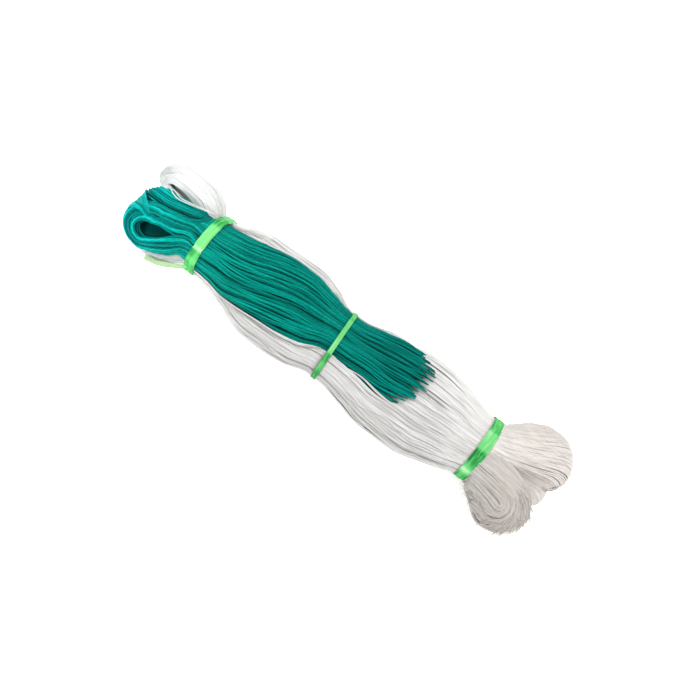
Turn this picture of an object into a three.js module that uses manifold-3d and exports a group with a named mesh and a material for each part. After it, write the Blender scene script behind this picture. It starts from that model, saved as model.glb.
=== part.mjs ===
// A tied hank of trellis netting: green cord netting gathered lengthwise on a hank of white threads.
// Millimetres. X runs along the hank from the head to the foot, -Y is the near side, Z is up.
import * as THREE from "three";
import { mergeVertices } from "three/addons/utils/BufferGeometryUtils.js";
import Module from "manifold-3d";

const GAP = 0.3;
const BED_GAP = 0.5;
const STEP = 10;
const NOSE_STEPS = 5;

const LOCK_POINTS = 3;
const GREEN_LOCKS = 14;
const GREEN_GROOVE = 2.2;
const WHITE_LOCKS = 15;
const WHITE_GROOVE = 1.7;
const LOBE_LOCKS = 8;

const TIE_SIDES = 36;
const FILM = 1;
const FOLD = 0.7;
// Ties sit askew: X at the middle of the hank, and its change for each millimetre towards the far side.
const UPPER_TIE_X = -133.4;
const UPPER_TIE_WIDTH = 8.5;
const UPPER_TIE_SLANT = -0.075;
const MIDDLE_TIE_X = -8.2;
const MIDDLE_TIE_WIDTH = 3.9;
const MIDDLE_TIE_SLANT = -0.04;
const LOWER_TIE_X = 129.5;
const LOWER_TIE_WIDTH = 9.3;
const LOWER_TIE_SLANT = 0.075;
const TIE_REACH = 2.5;
const TAIL_WIDTH = 6.5;

const EYE_SEGMENTS = 6;
const EYE_LENGTH = 29;
const EYE_HEIGHT = 14;
const EYE_DEPTH = 24;
const EYE_PLACE = new THREE.Vector3(-163, -33.5, 35.5);
const EYE_TILT = 0.7;
const EYE_SWING = 0.4;
const SLIT_LENGTH = 26;
const SLIT_HEIGHT = 5;
const SLIT_DEPTH = 14;
const SLIT_PLACE = new THREE.Vector3(-183, 20.3, 18.9);
const SLIT_TILT = 0.44;

// Cut end of the green cords: rounded overall, each lock at its own length, notched between locks.
const RAGGED_CROWN = 20;
const RAGGED_STAGGER = 5;
const RAGGED_NOTCH = 4;
const RAGGED_DEPTH = RAGGED_CROWN + RAGGED_STAGGER + RAGGED_NOTCH;

// Section tables, a row for each waist and swell: sideways reach and height. Below 0 the section lies flat.
const WHITE_TRUNK = [
  { x: -154, near: -22, far: 20, low: 4, high: 16 },
  { x: -140.2, near: -29, far: 32, low: 4, high: 22 },
  { x: -131.2, near: -29, far: 32, low: 4, high: 22 },
  { x: -115, near: -30.5, far: 39.5, low: 1, high: 24 },
  { x: -94, near: -37.5, far: 45.5, low: -1.2, high: 26 },
  { x: -60, near: -46, far: 45.5, low: -1.5, high: 29 },
  { x: -32, near: -44.5, far: 38.3, low: 0, high: 30 },
  { x: -10.8, near: -39.2, far: 27.9, low: 4.5, high: 31 },
  { x: -6.4, near: -39.2, far: 27.9, low: 4.5, high: 31 },
  { x: 20, near: -43, far: 35, low: 0, high: 33 },
  { x: 45, near: -48.2, far: 39.1, low: -1.5, high: 35 },
  { x: 66, near: -48.5, far: 41.6, low: -1.5, high: 37 },
  { x: 92, near: -42.9, far: 38.8, low: -0.5, high: 36 },
  { x: 113, near: -35.3, far: 32.4, low: 1.5, high: 33 },
  { x: 121.5, near: -32.4, far: 30.2, low: 3.2, high: 32.6 },
  { x: 126.5, near: -31.7, far: 29.2, low: 4, high: 32.5 },
  { x: 136.5, near: -31.7, far: 29.2, low: 4, high: 32.5 },
  { x: 166, near: -28, far: 28, low: 2, high: 30 },
];
// Loops at the foot, past the lower tie.
const FOOT_FAR = [
  { x: 122, near: -3, far: 22, low: 8, high: 26 },
  { x: 137, near: -4, far: 26.5, low: 5.5, high: 29 },
  { x: 139.5, near: -8, far: 36.5, low: 2.5, high: 33 },
  { x: 145, near: -12, far: 42, low: 0, high: 36 },
  { x: 158, near: -9, far: 52, low: -1.5, high: 40 },
  { x: 177, near: -3.5, far: 54.1, low: -1.5, high: 41 },
  { x: 204, near: -1, far: 50, low: -1, high: 38 },
];
const FOOT_NEAR = [
  { x: 118, near: -24, far: 1, low: 8, high: 26 },
  { x: 131.5, near: -28.5, far: 2, low: 5.5, high: 29 },
  { x: 136.5, near: -36.5, far: 5, low: 2.5, high: 32 },
  { x: 145, near: -43.5, far: 8, low: 0, high: 35 },
  { x: 156, near: -53, far: 4, low: -1.5, high: 38 },
  { x: 166, near: -54.2, far: 0, low: -1.5, high: 39 },
  { x: 188, near: -50, far: -4, low: -1, high: 36 },
];
const FOOT_MIDDLE = [
  { x: 140, near: -10, far: 8, low: 4, high: 22 },
  { x: 160, near: -13, far: 11, low: 0, high: 25 },
  { x: 178, near: -14, far: 12, low: -1, high: 24 },
  { x: 194, near: -12, far: 10, low: -1, high: 19 },
];
// White loops at the head: one on the far side, one flat under the green fold.
const HEAD_FAR = [
  { x: -205, near: 18, far: 42, low: 0, high: 25 },
  { x: -184, near: 17, far: 47.5, low: -1, high: 26 },
  { x: -168, near: 15, far: 48, low: -1, high: 26 },
  { x: -151, near: 9, far: 42, low: 1, high: 24.5 },
  { x: -145, near: 6, far: 37.5, low: 3.5, high: 22 },
  { x: -141, near: 3, far: 30, low: 7, high: 19 },
  { x: -126, near: 0, far: 19, low: 9, high: 17 },
];
const HEAD_UNDER = [
  { x: -184, near: -34, far: 8, low: -1, high: 8 },
  { x: -170, near: -37, far: 8, low: -1, high: 8.5 },
  { x: -156, near: -36.5, far: 8, low: 0, high: 9 },
  { x: -141, near: -27, far: 10, low: 7, high: 14 },
  { x: -126, near: -24, far: 10, low: 9, high: 15 },
];
const GREEN_TRUNK = [
  { x: -156, near: -26, far: 14, low: 11, high: 37 },
  { x: -140.2, near: -29.9, far: 18.1, low: 8, high: 40 },
  { x: -131.2, near: -29.9, far: 18.1, low: 8, high: 40 },
  { x: -115, near: -31.4, far: 19.2, low: 9, high: 42 },
  { x: -94, near: -35.9, far: 23, low: 10, high: 45 },
  { x: -63, near: -34.8, far: 27.8, low: 11, high: 46.5 },
  { x: -32, near: -30.3, far: 25.2, low: 12, high: 41 },
  { x: -10.8, near: -19.7, far: 23.5, low: 12, high: 34.5 },
  { x: -6.4, near: -19.7, far: 23.5, low: 12, high: 34.5 },
  { x: 20, near: -21.7, far: 27.7, low: 16, high: 37 },
  { x: 44, near: -26, far: 30.6, low: 24, high: 39 },
  { x: 71, near: -24, far: 29.5, low: 31, high: 40 },
];
// The green fold at the head, in two locks.
const FOLD_NEAR = [
  { x: -195, near: -45, far: -4, low: 10, high: 36 },
  { x: -175, near: -46, far: -2, low: 9, high: 38 },
  { x: -164, near: -43, far: 0, low: 9, high: 39 },
  { x: -152, near: -36.5, far: 2, low: 9, high: 39 },
  { x: -141, near: -29.5, far: 3, low: 10, high: 38 },
  { x: -126, near: -26, far: 2, low: 13, high: 35 },
];
const FOLD_FAR = [
  { x: -198, near: -14, far: 11, low: 14, high: 35 },
  { x: -174, near: -15, far: 12.5, low: 12, high: 36 },
  { x: -156, near: -15, far: 15, low: 10, high: 37 },
  { x: -141, near: -12, far: 16.5, low: 10.5, high: 37 },
  { x: -126, near: -8, far: 14, low: 13, high: 35 },
];

// Loose tail of the upper tie, from the band to the surface beside the head.
const TAIL = [
  { x: -132, y: -30.6, z: 16.5, lean: 0.05 },
  { x: -143, y: -34, z: 13, lean: 0.2 },
  { x: -151, y: -37.8, z: 10.2, lean: 0.2 },
  { x: -158, y: -39.8, z: 8, lean: 0.1 },
  { x: -165, y: -40.8, z: 6, lean: 0.3 },
];

// Lengthwise folds across a film tie: place across the width and lift over the film.
const FOLDS = [
  { across: -0.5, lift: 0 },
  { across: -0.2, lift: FOLD },
  { across: 0.05, lift: 0.1 },
  { across: 0.28, lift: FOLD },
  { across: 0.5, lift: 0 },
];

const wasm = await Module();
wasm.setup();

function column(rows, name) {
  const last = rows.length - 1;
  const rise = (i) => (rows[i + 1][name] - rows[i][name]) / (rows[i + 1].x - rows[i].x);
  const slopes = rows.map((row, i) => {
    const before = rise(Math.max(i - 1, 0));
    const after = rise(Math.min(i, last - 1));
    return before * after <= 0 ? 0 : (2 * before * after) / (before + after);
  });
  return (x) => {
    const place = THREE.MathUtils.clamp(x, rows[0].x, rows[last].x);
    const i = Math.max(rows.findIndex((row) => row.x >= place) - 1, 0);
    const span = rows[i + 1].x - rows[i].x;
    const t = (place - rows[i].x) / span;
    const start = rows[i][name] + slopes[i] * span * t;
    const end = rows[i + 1][name] - slopes[i + 1] * span * (1 - t);
    return THREE.MathUtils.lerp(start, end, t * t * (3 - 2 * t));
  };
}

function hank(rows, shape) {
  const columns = ["near", "far", "low", "high"].map((name) => column(rows, name));
  return { rows, columns, headNose: 0, footNose: 0, ragged: false, twist: 0, ...shape };
}

function stations(body) {
  const from = body.rows[0].x;
  const to = body.rows[body.rows.length - 1].x;
  const found = [];
  for (let i = 1; i <= NOSE_STEPS; i++) {
    const turn = (Math.PI / 2) * (i / (NOSE_STEPS + 1));
    const out = Math.cos(turn);
    const scale = Math.sin(turn);
    found.push({ x: from + body.headNose * (1 - out), scale, out: -out });
    if (!body.ragged) found.push({ x: to - body.footNose * (1 - out), scale, out });
  }
  const start = from + body.headNose;
  const end = body.ragged ? to - RAGGED_DEPTH - 1 : to - body.footNose;
  const marks = [start, ...body.rows.map((row) => row.x).filter((x) => x > start + 1 && x < end - 1), end];
  marks.slice(1).forEach((mark, i) => {
    const parts = Math.ceil((mark - marks[i]) / STEP);
    for (let k = 0; k < parts; k++) {
      found.push({ x: THREE.MathUtils.lerp(marks[i], mark, k / parts), scale: 1, out: 0 });
    }
  });
  found.push({ x: end, scale: 1, out: 0 });
  if (body.ragged) found.push({ x: to, scale: 1, out: 1, cut: true });
  return found.sort((a, b) => a.x - b.x);
}

function ring(body, station, grow) {
  const [near, far, low, high] = body.columns.map((value) => value(station.x));
  const points = [];
  const count = body.locks * LOCK_POINTS;
  for (let j = 0; j < count; j++) {
    const turn = (2 * Math.PI * j) / count + body.twist * station.x;
    const valley = grow === 0 && j % LOCK_POINTS === 0;
    const dip = valley ? body.groove * (0.7 + 0.3 * Math.sin(j * 2.4)) : 0;
    const wide = ((far - near) / 2 - dip) * station.scale + grow;
    const tall = ((high - low) / 2 - dip) * station.scale + grow;
    const y = (near + far) / 2 + wide * Math.cos(turn);
    const z = (low + high) / 2 + tall * Math.sin(turn);
    const crown = station.cut ? (RAGGED_CROWN / 2) * (Math.sin(turn) - 1) : 0;
    const notch = station.cut && valley ? RAGGED_NOTCH : 0;
    const stagger = station.cut && grow === 0 ? RAGGED_STAGGER * (0.5 + 0.5 * Math.sin(j * 5.3)) : 0;
    const x = station.x + station.out * grow + crown - notch - stagger;
    points.push(new THREE.Vector3(x, y, Math.max(z, 0)));
  }
  return points;
}

function centre(points) {
  const sum = points.reduce((total, point) => total.add(point), new THREE.Vector3());
  return sum.divideScalar(points.length);
}

function closedLoft(rings, headTip, footTip) {
  const count = rings[0].length;
  const points = [...rings.flat(), headTip, footTip];
  const faces = [];
  for (let j = 0; j < count; j++) {
    const next = (j + 1) % count;
    for (let i = 0; i + 1 < rings.length; i++) {
      const a = i * count;
      const b = a + count;
      faces.push(a + j, a + next, b + next);
      faces.push(a + j, b + next, b + j);
    }
    const last = (rings.length - 1) * count;
    faces.push(points.length - 2, next, j);
    faces.push(points.length - 1, last + j, last + next);
  }
  return solid(points, faces);
}

function solid(points, faces) {
  const vertProperties = new Float32Array(points.flatMap((point) => point.toArray()));
  const triVerts = new Uint32Array(faces);
  return new wasm.Manifold(new wasm.Mesh({ numProp: 3, vertProperties, triVerts }));
}

function form(body, grow = 0) {
  const rings = stations(body).map((station) => ring(body, station, grow));
  const first = rings[0];
  const last = rings[rings.length - 1];
  const headTip = centre(first);
  headTip.x = body.rows[0].x - grow;
  const footTip = centre(last);
  const end = body.rows[body.rows.length - 1].x;
  const setBack = grow === 0 ? RAGGED_CROWN / 2 + RAGGED_NOTCH : RAGGED_CROWN / 2;
  footTip.x = body.ragged ? end - setBack : end + grow;
  return closedLoft(rings, headTip, footTip);
}

function joined(bodies, grow = 0) {
  return bodies.map((body) => form(body, grow)).reduce((whole, piece) => whole.add(piece));
}

// Teardrop recess of a fold's eye: round at the head, drawn out to a point along the hank.
function eye(length, height, depth, place, tilt, swing) {
  const outline = new THREE.Shape();
  outline.moveTo(length / 2, 0);
  outline.quadraticCurveTo(0, height / 2, -length / 4, height / 2);
  outline.quadraticCurveTo(-length / 2, height / 2, -length / 2, 0);
  outline.quadraticCurveTo(-length / 2, -height / 2, -length / 4, -height / 2);
  outline.quadraticCurveTo(0, -height / 2, length / 2, 0);
  const through = { depth: depth * 2, bevelEnabled: false, curveSegments: EYE_SEGMENTS };
  const recess = new THREE.ExtrudeGeometry(outline, through);
  recess.translate(0, 0, -depth);
  recess.rotateZ(swing);
  const along = new THREE.Vector3(1, 0, 0);
  const outward = new THREE.Vector3(0, -Math.cos(tilt), Math.sin(tilt));
  const upward = outward.clone().cross(along);
  recess.applyMatrix4(new THREE.Matrix4().makeBasis(along, upward, outward).setPosition(place));
  return fromGeometry(recess);
}

function fromGeometry(geometry) {
  geometry.deleteAttribute("normal");
  geometry.deleteAttribute("uv");
  const merged = mergeVertices(geometry, 1e-4);
  const positions = merged.attributes.position;
  const points = Array.from({ length: positions.count }, (_, i) => {
    return new THREE.Vector3().fromBufferAttribute(positions, i);
  });
  return solid(points, merged.index.array);
}

function geometryOf(piece) {
  const mesh = piece.getMesh();
  const geometry = new THREE.BufferGeometry();
  geometry.setAttribute("position", new THREE.BufferAttribute(new Float32Array(mesh.vertProperties), 3));
  geometry.setIndex(new THREE.BufferAttribute(new Uint32Array(mesh.triVerts), 1));
  return geometry;
}

// A film band drawn tight round everything that passes through it.
function band(pieces, x, width, slant) {
  const inside = [];
  pieces.forEach((piece) => {
    const { vertProperties } = piece.getMesh();
    for (let i = 0; i < vertProperties.length; i += 3) {
      const middle = x + slant * vertProperties[i + 1];
      if (Math.abs(vertProperties[i] - middle) < width / 2 + TIE_REACH) {
        inside.push(new THREE.Vector2(vertProperties[i + 1], vertProperties[i + 2]));
      }
    }
  });
  const sides = Array.from({ length: TIE_SIDES }, (_, i) => {
    const turn = (2 * Math.PI * i) / TIE_SIDES;
    const normal = new THREE.Vector2(Math.cos(turn), Math.sin(turn));
    return { normal, reach: Math.max(...inside.map((point) => point.dot(normal))) };
  });
  const profile = [
    { across: 0.5, offset: GAP },
    { across: -0.5, offset: GAP },
    ...FOLDS.map(({ across, lift }) => ({ across, offset: GAP + FILM + lift })),
  ];
  const corner = (i, offset) => {
    const a = sides[i];
    const b = sides[(i + 1) % TIE_SIDES];
    const reachA = a.reach + offset;
    const reachB = b.reach + offset;
    const cross = a.normal.cross(b.normal);
    const y = (reachA * b.normal.y - reachB * a.normal.y) / cross;
    const z = (reachB * a.normal.x - reachA * b.normal.x) / cross;
    return [y, z];
  };
  const points = sides.flatMap((side, i) => {
    return profile.map(({ across, offset }) => {
      const [y, z] = corner(i, offset);
      return new THREE.Vector3(x + slant * y + across * width, y, z);
    });
  });
  const count = profile.length;
  const faces = [];
  for (let i = 0; i < TIE_SIDES; i++) {
    const a = i * count;
    const b = ((i + 1) % TIE_SIDES) * count;
    for (let k = 0; k < count; k++) {
      const next = (k + 1) % count;
      faces.push(a + k, b + next, a + next);
      faces.push(a + k, b + k, b + next);
    }
  }
  return solid(points, faces);
}

function strip(rows, width) {
  const rings = rows.map(({ x, y, z, lean }) => {
    const across = new THREE.Vector3(0, -Math.sin(lean), Math.cos(lean)).multiplyScalar(width / 2);
    const through = new THREE.Vector3(0, -Math.cos(lean), -Math.sin(lean)).multiplyScalar(FILM / 2);
    const middle = new THREE.Vector3(x, y, z);
    const corners = [[1, 1], [1, -1], [-1, -1], [-1, 1]];
    return corners.map(([a, b]) => {
      return middle.clone().addScaledVector(across, a).addScaledVector(through, b);
    });
  });
  return closedLoft(rings, centre(rings[0]), centre(rings[rings.length - 1]));
}

const whiteLobe = { locks: LOBE_LOCKS, groove: WHITE_GROOVE };
const greenFold = { locks: LOBE_LOCKS, groove: GREEN_GROOVE };
const whiteBodies = [
  hank(WHITE_TRUNK, { locks: WHITE_LOCKS, groove: WHITE_GROOVE, twist: 0.0015, headNose: 8, footNose: 18 }),
  hank(FOOT_FAR, { ...whiteLobe, headNose: 6, footNose: 30 }),
  hank(FOOT_NEAR, { ...whiteLobe, headNose: 6, footNose: 28 }),
  hank(FOOT_MIDDLE, { ...whiteLobe, headNose: 6, footNose: 14 }),
  hank(HEAD_FAR, { ...whiteLobe, headNose: 20, footNose: 6 }),
  hank(HEAD_UNDER, { ...whiteLobe, headNose: 16, footNose: 6 }),
];
const greenBodies = [
  hank(GREEN_TRUNK, { locks: GREEN_LOCKS, groove: GREEN_GROOVE, twist: 0.001, headNose: 10, ragged: true }),
  hank(FOLD_NEAR, { ...greenFold, headNose: 26, footNose: 6 }),
  hank(FOLD_FAR, { ...greenFold, headNose: 20, footNose: 6 }),
];

const foldEye = eye(EYE_LENGTH, EYE_HEIGHT, EYE_DEPTH, EYE_PLACE, EYE_TILT, EYE_SWING);
const loopSlit = eye(SLIT_LENGTH, SLIT_HEIGHT, SLIT_DEPTH, SLIT_PLACE, SLIT_TILT, 0);
const greenHank = joined(greenBodies).subtract(foldEye);
const whiteHank = joined(whiteBodies).subtract(joined(greenBodies, BED_GAP)).subtract(loopSlit);
const hanks = [greenHank, whiteHank];
const upperTie = band(hanks, UPPER_TIE_X, UPPER_TIE_WIDTH, UPPER_TIE_SLANT).add(strip(TAIL, TAIL_WIDTH));
const middleTie = band(hanks, MIDDLE_TIE_X, MIDDLE_TIE_WIDTH, MIDDLE_TIE_SLANT);
const lowerTie = band(hanks, LOWER_TIE_X, LOWER_TIE_WIDTH, LOWER_TIE_SLANT);

const group = new THREE.Group();

function addNode(name, piece, colour, roughness) {
  const material = new THREE.MeshStandardMaterial({ color: colour, roughness, metalness: 0 });
  const mesh = new THREE.Mesh(geometryOf(piece), material);
  mesh.geometry.computeVertexNormals();
  mesh.name = name;
  group.add(mesh);
}

addNode("white_hank", whiteHank, 0xe6e2dd, 0.8);
addNode("green_hank", greenHank, 0x00826e, 0.6);
addNode("tie_upper", upperTie, 0x57d66a, 0.3);
addNode("tie_middle", middleTie, 0x57d66a, 0.3);
addNode("tie_lower", lowerTie, 0x57d66a, 0.3);

export default group;
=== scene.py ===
import math
from collections import namedtuple

import bpy
import numpy as np
from mathutils import Matrix, Vector


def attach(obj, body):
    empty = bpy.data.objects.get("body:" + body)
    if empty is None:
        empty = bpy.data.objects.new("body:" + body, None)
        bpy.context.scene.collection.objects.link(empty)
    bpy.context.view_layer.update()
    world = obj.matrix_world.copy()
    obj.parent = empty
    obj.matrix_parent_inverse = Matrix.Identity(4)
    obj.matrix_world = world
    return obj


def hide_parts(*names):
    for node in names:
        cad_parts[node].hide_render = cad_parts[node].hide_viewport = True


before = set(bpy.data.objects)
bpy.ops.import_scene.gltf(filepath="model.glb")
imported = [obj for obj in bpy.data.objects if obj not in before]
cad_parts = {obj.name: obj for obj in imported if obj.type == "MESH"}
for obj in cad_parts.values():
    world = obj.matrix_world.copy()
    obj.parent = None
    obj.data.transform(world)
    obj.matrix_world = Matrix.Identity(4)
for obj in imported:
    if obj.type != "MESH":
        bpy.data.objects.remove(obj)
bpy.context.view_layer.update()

# A tied hank of trellis netting: white threads and green cords, each strand laid as its own tube.
# Tables are in millimetres in the CAD frame, X from head to foot and -Y the near side. Meshes are in metres.
MM = 0.001
FULL_TURN = 2 * math.pi

THREAD_RADIUS = 0.32
THREAD_SIDES = 4
CORD_RADIUS = 0.74
CORD_SIDES = 6

# Ties sit askew: x at the middle of the hank, and slant its change for each millimetre towards the far side.
Tie = namedtuple("Tie", "x width slant")
UPPER_TIE = Tie(-133.4, 8.5, -0.075)
MIDDLE_TIE = Tie(-8.2, 3.9, -0.04)
LOWER_TIE = Tie(129.5, 9.3, 0.075)

# The green cords are cut off past the middle tie, longest on top of the hank.
GREEN_END = 71
NEAR_SETBACK = 16
FAR_SETBACK = 19


def column(xs, values):
    """A smooth line through values at stations along X, with no overshoot between them."""
    rise = np.diff(values) / np.diff(xs)
    before = np.concatenate([rise[:1], rise])
    after = np.concatenate([rise, rise[-1:]])
    same_way = before * after > 0
    slopes = np.where(same_way, 2 * before * after / np.where(same_way, before + after, 1), 0)

    def value(x):
        place = np.clip(x, xs[0], xs[-1])
        i = np.clip(np.searchsorted(xs, place) - 1, 0, len(xs) - 2)
        span = xs[i + 1] - xs[i]
        t = (place - xs[i]) / span
        start = values[i] + slopes[i] * span * t
        end = values[i + 1] - slopes[i + 1] * span * (1 - t)
        return start + (end - start) * t * t * (3 - 2 * t)

    return value


class Hank:
    """Outline of a hank: an oval at every station along X, from rows of x, near, far, low and high."""

    def __init__(self, *rows):
        xs, *sides = np.array(rows, float).T
        self.columns = [column(xs, side) for side in sides]

    def oval(self, x):
        near, far, low, high = (value(x) for value in self.columns)
        return (near + far) / 2, (far - near) / 2, (low + high) / 2, (high - low) / 2

    def at(self, x, turn, sink, scale=1.0):
        mid_y, half_y, mid_z, half_z = self.oval(x)
        y = mid_y + (half_y - sink) * scale * np.cos(turn)
        z = mid_z + (half_z - sink) * scale * np.sin(turn)
        return np.stack(np.broadcast_arrays(x, y, z), -1)


WHITE = Hank(
    (-154, -22, 20, 4, 16),
    (-140.2, -29, 32, 4, 22),
    (-131.2, -29, 32, 4, 22),
    (-115, -30.5, 39.5, 1, 24),
    (-94, -37.5, 45.5, -1.2, 26),
    (-60, -46, 45.5, -1.5, 29),
    (-32, -44.5, 38.3, 0, 30),
    (-10.8, -39.2, 27.9, 4.5, 31),
    (-6.4, -39.2, 27.9, 4.5, 31),
    (20, -43, 35, 0, 33),
    (45, -48.2, 39.1, -1.5, 35),
    (66, -48.5, 41.6, -1.5, 37),
    (92, -42.9, 38.8, -0.5, 36),
    (113, -35.3, 32.4, 1.5, 33),
    (121.5, -32.4, 30.2, 3.2, 32.6),
    (126.5, -31.7, 29.2, 4, 32.5),
    (136.5, -31.7, 29.2, 4, 32.5),
    (166, -28, 28, 2, 30),
)
LOBE_FAR = Hank(
    (122, -3, 22, 8, 26),
    (137, -4, 26.5, 5.5, 29),
    (139.5, -8, 31.5, 2.5, 33),
    (145, -12, 36, 0, 36),
    (158, -9, 46.5, -1.5, 40),
    (177, -3.5, 52.5, -1.5, 41),
    (204, -1, 53, -1, 38),
)
LOBE_NEAR = Hank(
    (118, -24, 1, 8, 26),
    (131.5, -28.5, 2, 5.5, 29),
    (136.5, -36.5, 5, 2.5, 32),
    (145, -43.5, 8, 0, 35),
    (156, -53, 4, -1.5, 38),
    (166, -54.2, 0, -1.5, 39),
    (188, -50, -4, -1, 36),
)
LOBE_MIDDLE = Hank(
    (140, -10, 8, 4, 22),
    (160, -13, 14, 0, 25),
    (178, -14, 20, -1, 24),
    (197, -12, 20, -1, 19),
)
LOOP_FAR = Hank(
    (-205, 18, 42, 0, 25),
    (-184, 17, 47.5, -1, 26),
    (-168, 15, 48, -1, 26),
    (-151, 9, 42, 1, 24.5),
    (-145, 6, 37.2, 3.5, 22),
    (-141, 3, 31.4, 6.5, 19.5),
    (-136, 2, 28.5, 8, 18),
    (-126, 0, 22, 9, 17),
)
LOOP_UNDER = Hank(
    (-184, -34, 8, -1, 8),
    (-170, -37, 8, -1, 8.5),
    (-156, -36.5, 8, 0, 9),
    (-141, -27, 10, 7, 14),
    (-126, -24, 10, 9, 15),
)
GREEN = Hank(
    (-156, -26, 14, 11, 37),
    (-140.2, -29.9, 18.1, 8, 40),
    (-131.2, -29.9, 18.1, 8, 40),
    (-115, -31.4, 19.2, 9, 42),
    (-94, -35.9, 23, 10, 45),
    (-63, -34.8, 27.8, 11, 46.5),
    (-32, -30.3, 25.2, 12, 41),
    (-10.8, -19.7, 23.5, 12, 34.5),
    (-6.4, -19.7, 23.5, 12, 34.5),
    (20, -21.7, 27.7, 16, 37),
    (44, -26, 30.6, 24, 39),
    (71, -24, 29.5, 31, 40),
)
GREEN_NEAR = Hank(
    (-195, -45, -4, 10, 36),
    (-175, -46, -2, 9, 38),
    (-164, -43, 0, 9, 39),
    (-152, -36.5, 2, 9, 39),
    (-141, -29.5, 3, 10, 38),
    (-126, -26, 2, 13, 35),
)
GREEN_FAR = Hank(
    (-198, -14, 11, 14, 35),
    (-174, -15, 12.5, 12, 36),
    (-156, -15, 15, 10, 37),
    (-141, -12, 16.5, 10.5, 37),
    (-126, -8, 14, 13, 35),
)
# Loose tail of the upper tie, from its tip: x, y, z and lean
TAIL = [
    (-165, -39.2, 6.2, -0.35),
    (-158, -38.7, 8, -0.35),
    (-151, -37.2, 10.2, -0.25),
    (-143, -34, 13, 0),
    (-132, -30.6, 16.5, 0.1),
]
TAIL_WIDTH = 6.5


def smooth(low, high, value):
    t = np.clip((value - low) / (high - low), 0, 1)
    return t * t * (3 - 2 * t)


def bell(value):
    return np.exp(-(value**2))


def wander(rng, count, along, waves, size):
    drift = np.zeros((count, len(along)))
    for wave in waves:
        phase = rng.uniform(0, FULL_TURN, (count, 1))
        drift += rng.normal(0, 1, (count, 1)) * np.sin(FULL_TURN * along / wave + phase)
    return size * drift / math.sqrt(len(waves))


GIRTH_STEPS = 2000


class Girth:
    """Distance round an oval, in millimetres from its far side over the top, and the turn it stands for."""

    def __init__(self, half_y, half_z):
        self.turn = np.linspace(0, FULL_TURN, GIRTH_STEPS + 1)
        step = np.hypot(half_y * np.sin(self.turn), half_z * np.cos(self.turn)) * FULL_TURN / GIRTH_STEPS
        self.length = np.concatenate([[0], np.cumsum((step[1:] + step[:-1]) / 2)])
        self.whole = self.length[-1]

    def spaced(self, count, share=1.0):
        return (np.arange(count) + 0.5) / count * self.whole * share

    def turn_at(self, distance):
        laps = np.floor(distance / self.whole)
        return np.interp(distance - laps * self.whole, self.length, self.turn) + laps * FULL_TURN

    def folded(self, distance):
        """Turn away from the start, the same on both sides of it."""
        distance = np.abs(distance)
        return self.turn_at(np.minimum(distance, self.whole - distance))


def gather(rng, places, smallest, largest):
    sizes = []
    while sum(sizes) < len(places):
        sizes.append(int(rng.integers(smallest, largest + 1)))
    member = np.repeat(np.arange(len(sizes)), sizes)[: len(places)]
    centre = np.bincount(member, places) / np.bincount(member)
    spread = np.full(len(centre), 1e-6)
    np.maximum.at(spread, member, np.abs(places - centre[member]))
    return member, centre, (places - centre[member]) / spread[member]


# Lengths in millimetres of the waves in which locks and strands wander along their run
LOCK_WAVES = (420, 190, 95)
STRAND_WAVES = (170, 95, 52)
GROOVE_WAVES = (190, 100, 58)
RESTLESS_WAVES = (110, 48)


def lay_in_locks(rng, places, along, lock, sway, own, crown, deep, slack=1.0):
    """Place round the hank and sink of each strand along its run, in millimetres.

    Locks of strands wander as one. The grooves between them open and close along the run where it is slack.
    """
    member, centre, edge = gather(rng, places, *lock)
    together = wander(rng, len(centre), along, LOCK_WAVES, sway)[member]
    alone = wander(rng, len(places), along, STRAND_WAVES, own)
    drawn = slack * np.clip(wander(rng, len(centre), along, GROOVE_WAVES, 0.8), 0, 1)[member]
    middle = centre[member][:, None]
    place = places[:, None] - (places[:, None] - middle) * 0.3 * drawn + together + alone
    level = rng.uniform(0, deep, len(centre))[member] + rng.uniform(0, deep, len(places))
    restless = np.abs(wander(rng, len(places), along, RESTLESS_WAVES, 0.4 * deep))
    return place, level[:, None] + crown * drawn * (edge**4)[:, None] + restless * slack


def slack_between_ties(x):
    off = np.min([np.abs(x - tie.x) for tie in (UPPER_TIE, MIDDLE_TIE, LOWER_TIE)], axis=0)
    return 0.25 + 0.75 * smooth(6, 42, off)


def ease(values, passes=2):
    for _ in range(passes):
        inner = (values[:, :-2] + 2 * values[:, 1:-1] + values[:, 2:]) / 4
        values = np.concatenate([values[:, :1], inner, values[:, -1:]], axis=1)
    return values


def cut_end(turn):
    setback = np.where(np.cos(turn) < 0, NEAR_SETBACK, FAR_SETBACK)
    return GREEN_END - setback * (1 - np.sin(turn))


def bed_under_green(paths, gap):
    x, y, z = np.moveaxis(paths, -1, 0)
    mid_y, half_y, mid_z, half_z = GREEN.oval(x)
    off = np.clip((y - mid_y) / (half_y + gap), -1, 1)
    under = mid_z - (half_z + gap) * np.sqrt(1 - off**2)
    held = 1 - smooth(-24, -5, x - cut_end(np.arccos(off)))
    lowered = np.where(np.abs(off) < 1, np.minimum(z, under), z)
    return np.stack([x, y, ease(z + held * (lowered - z))], -1)


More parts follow.
